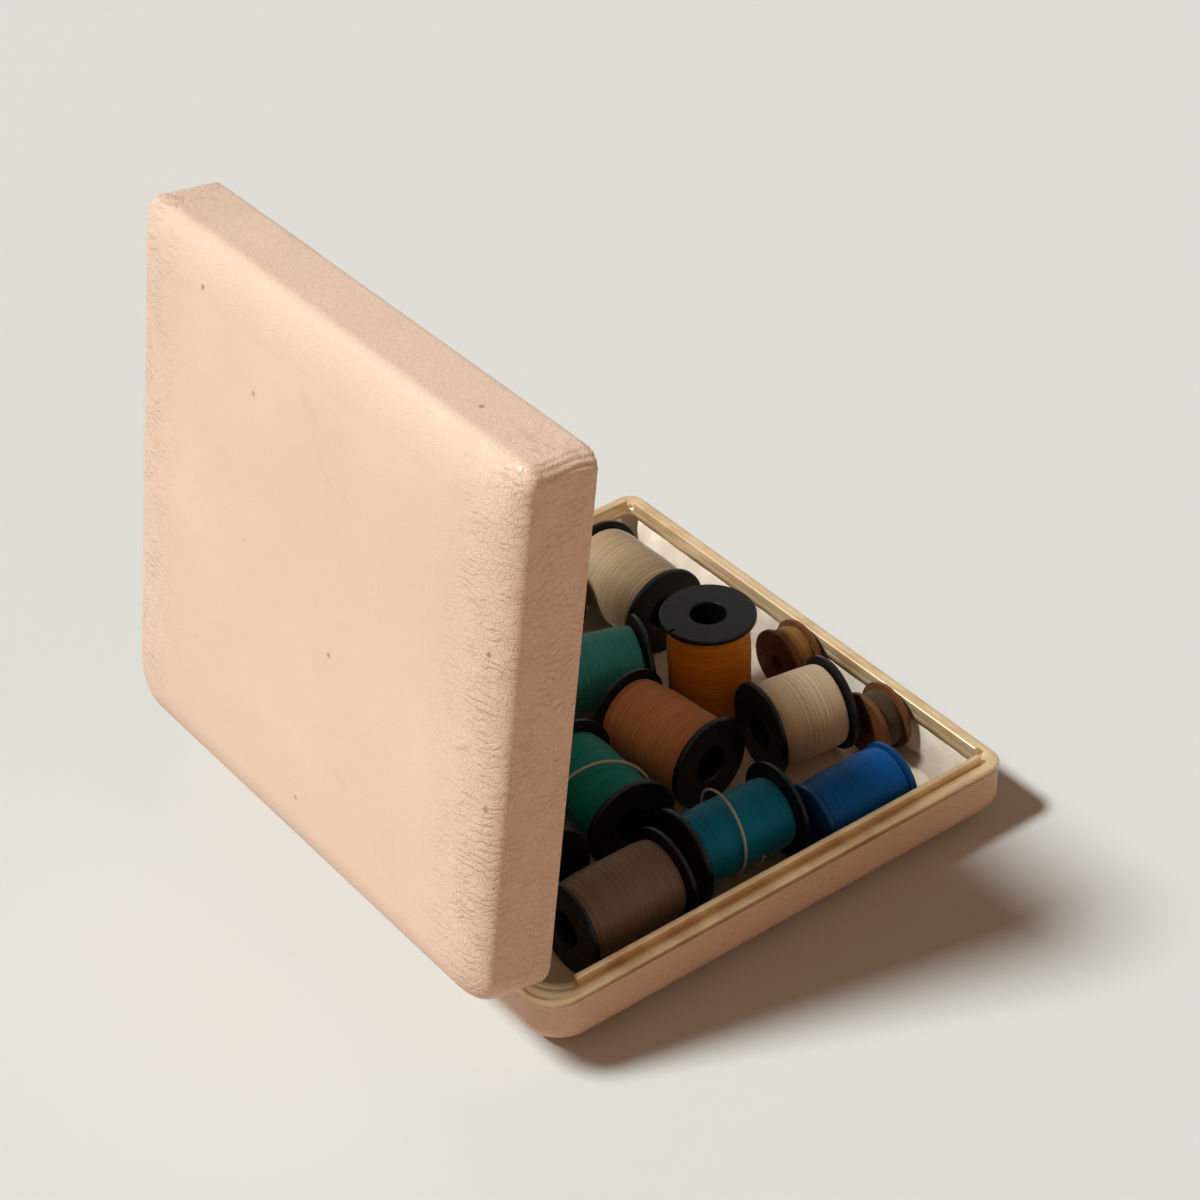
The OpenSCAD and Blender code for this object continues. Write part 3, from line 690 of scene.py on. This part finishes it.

# ---- Wound thread ----------------------------------------------------------------------
# Each spool holds many layers of fine polyester thread in level turns, a little fuller in
# the middle and falling away towards both flanges.
THREADS = {                    # turn about Z in degrees, or None for upright, and colour
    "cream": (180, (0.36, 0.25, 0.14)), "amber": (None, (0.60, 0.21, 0.006)),
    "teal": (70, (0.05, 0.38, 0.40)), "copper": (7, (0.62, 0.28, 0.13)),
    "green": (176, (0.0, 0.22, 0.19)), "lagoon": (88, (0.0, 0.19, 0.34)),
    "taupe": (90, (0.21, 0.155, 0.105)), "white": (82, (0.57, 0.43, 0.28)),
    "blue": (90, (0.0, 0.12, 0.46)), "brown": (90, (0.20, 0.09, 0.02)),
    "umber": (90, (0.05, 0.03, 0.015)), "rose": (92, (0.42, 0.12, 0.15)),
    "navy": (4, (0.02, 0.03, 0.10)), "olive": (90, (0.13, 0.13, 0.03)),
    "black": (178, (0.012, 0.012, 0.014)), "plum": (2, (0.16, 0.03, 0.10))}
THREAD = 0.26 * MM
SCALLOP = 0.05 * MM            # depth of the hollow between two turns
END_TAPER = 0.45 * MM          # the winding falls away towards both flanges
LAYER_WAVE = 0.06 * MM         # unevenness of the last layer, and of single turns
TURN_WAVE = 0.03
ROUND_STEPS = 40
SPOOL_HUB = 4.6 * MM
REEL_HUB = 2.4 * MM
REEL_FLANGE = 7 * MM           # a flange of a smaller radius than this is a reel's


def thread_fibre(name, colour):
    """Polyester thread: each turn has its own tone, and the fibre glints softly."""
    fibre = add_material(name, colour, roughness=0.45, Specular_IOR_Level=0.12,
                         Sheen_Weight=0.3, Sheen_Roughness=0.35)
    tone = node(fibre, "Attribute", attribute_name="turn_tone").outputs["Fac"]
    varied = node(fibre, "MixRGB", {"Fac": tone, "Color1": (*[c * 0.8 for c in colour], 1),
                                    "Color2": (*[min(1, c * 1.15) for c in colour], 1)})
    shade(fibre, "Base Color", varied.outputs[0])
    place = node(fibre, "TexCoord").outputs["Object"]
    twist = node(fibre, "TexNoise", {"Vector": place, "Scale": 6000, "Detail": 2})
    fuzz = node(fibre, "Bump", {"Strength": 0.3, "Distance": 0.00005,
                                "Height": twist.outputs["Fac"]})
    shade(fibre, "Normal", fuzz.outputs["Normal"])
    return fibre


def spool_place(spool, turn):
    """A spool's own frame, its axis along Z, with its radius and its length."""
    low, high = (Vector(c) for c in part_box(spool))
    middle = (low + high) / 2
    size = high - low
    if turn is None:
        return Matrix.Translation(middle), size.x / 2, size.z
    a = math.radians(turn)
    if abs(math.cos(a)) > 0.7:
        length = (size.x - size.z * abs(math.sin(a))) / abs(math.cos(a))
    else:
        length = (size.y - size.z * abs(math.cos(a))) / abs(math.sin(a))
    lying = (Matrix.Translation(middle) @ Matrix.Rotation(a, 4, "Z")
             @ Matrix.Rotation(math.radians(90), 4, "Y"))
    return lying, size.z / 2, length


def wound_thread(hub, radius, half_length, chance):
    """A barrel of close turns, spun from a scalloped section."""
    bm = bmesh.new()
    turns = round(2 * half_length / THREAD)
    pitch = 2 * half_length / turns
    line = [bm.verts.new((hub, 0, -half_length))]
    for i in range(turns):
        along = -half_length + pitch * (i + 0.5)
        full = radius - END_TAPER * (along / half_length) ** 4
        full += LAYER_WAVE * math.sin(along / (1.7 * MM))
        full += chance.uniform(-TURN_WAVE, TURN_WAVE) * MM
        for k in (-0.38, 0.0, 0.38):
            crest = full - (SCALLOP if k else 0.0)
            line.append(bm.verts.new((crest, 0, along + k * pitch)))
    line.append(bm.verts.new((hub, 0, half_length)))
    edges = [bm.edges.new(pair) for pair in zip(line, line[1:])]
    bmesh.ops.spin(bm, geom=line + edges, cent=(0, 0, 0), axis=(0, 0, 1),
                   angle=2 * math.pi, steps=ROUND_STEPS, use_merge=True)
    bmesh.ops.recalc_face_normals(bm, faces=bm.faces)
    return bm


chance = random.Random(4)
for name, (turn, colour) in THREADS.items():
    spool = ("reel_" if name in ("brown", "umber") else "spool_") + name
    place, flange, length = spool_place(spool, turn)
    across, wound_length = spool_place("thread_" + name, turn)[1:]
    winding = wound_thread(REEL_HUB if flange < REEL_FLANGE else SPOOL_HUB, across,
                           wound_length / 2, chance)
    bmesh.ops.transform(winding, verts=winding.verts, matrix=place)
    wound = shown(winding, "wound_" + name, thread_fibre("thread_" + name, colour))
    tones = wound.data.attributes.new("turn_tone", "FLOAT", "POINT")
    inward = place.inverted()
    for vertex, tone in zip(wound.data.vertices, tones.data):
        along = (inward @ vertex.co).z
        tone.value = 0.5 + noise.noise(Vector((round(along / THREAD) * 1.7, 0, 0.5)))
    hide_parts("thread_" + name)
    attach(wound, spool)

# ---- Loose thread ----------------------------------------------------------------------
# The end of the thread has sprung off two of the spools and stands round it in a slack turn
# of pale thread, whose ends are held by the winding. Each is one cord swept along a set route.
LOOSE = 0.5 * MM
# spool, its turn, winding's radius, start angle, turns, rise, stretch along it, steps
LOOSE_TURNS = (
    ("lagoon", 88, 6.8 * MM, 30, 1.12, 1.5 * MM, (3.2 * MM, -2.4 * MM), 42),
    ("green", 176, 7.4 * MM, 100, 0.62, 1.1 * MM, (6 * MM, -5 * MM), 24))


def slack_turn(spool, turn, wound, start, turns, rise, stretch, steps):
    """The route of a loose turn: it lifts off the winding and comes back down to it."""
    place = spool_place(spool, turn)[0]
    route = []
    for i in range(steps + 1):
        u = i / steps
        a = math.radians(start + 360 * turns * u)
        r = wound + LOOSE / 2 - 0.05 * MM + rise * math.sin(math.pi * u)
        along = stretch[0] + (stretch[1] - stretch[0]) * u
        route.append(place @ Vector((r * math.cos(a), r * math.sin(a), along)))
    return route


def thread_cord(name, route):
    """A thread swept along its route as one curve with round, closed ends."""
    line = bpy.data.curves.new(name, "CURVE")
    line.dimensions = "3D"
    line.bevel_depth = LOOSE / 2
    line.bevel_resolution = 3
    line.use_fill_caps = True
    spline = line.splines.new("POLY")
    spline.points.add(len(route) - 1)
    for point, place in zip(spline.points, route):
        point.co = (*place, 1)
    piece = bpy.data.objects.new(name, line)
    bpy.context.scene.collection.objects.link(piece)
    line.materials.append(pale_thread)
    return piece


pale_thread = thread_fibre("pale_thread", (0.62, 0.60, 0.52))
for name, turn, wound, start, turns, rise, stretch, steps in LOOSE_TURNS:
    route = slack_turn("spool_" + name, turn, wound, start, turns, rise, stretch, steps)
    end = thread_cord("loose_end_" + name, route)
    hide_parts("loose_thread_" + name)
    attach(end, "spool_" + name)
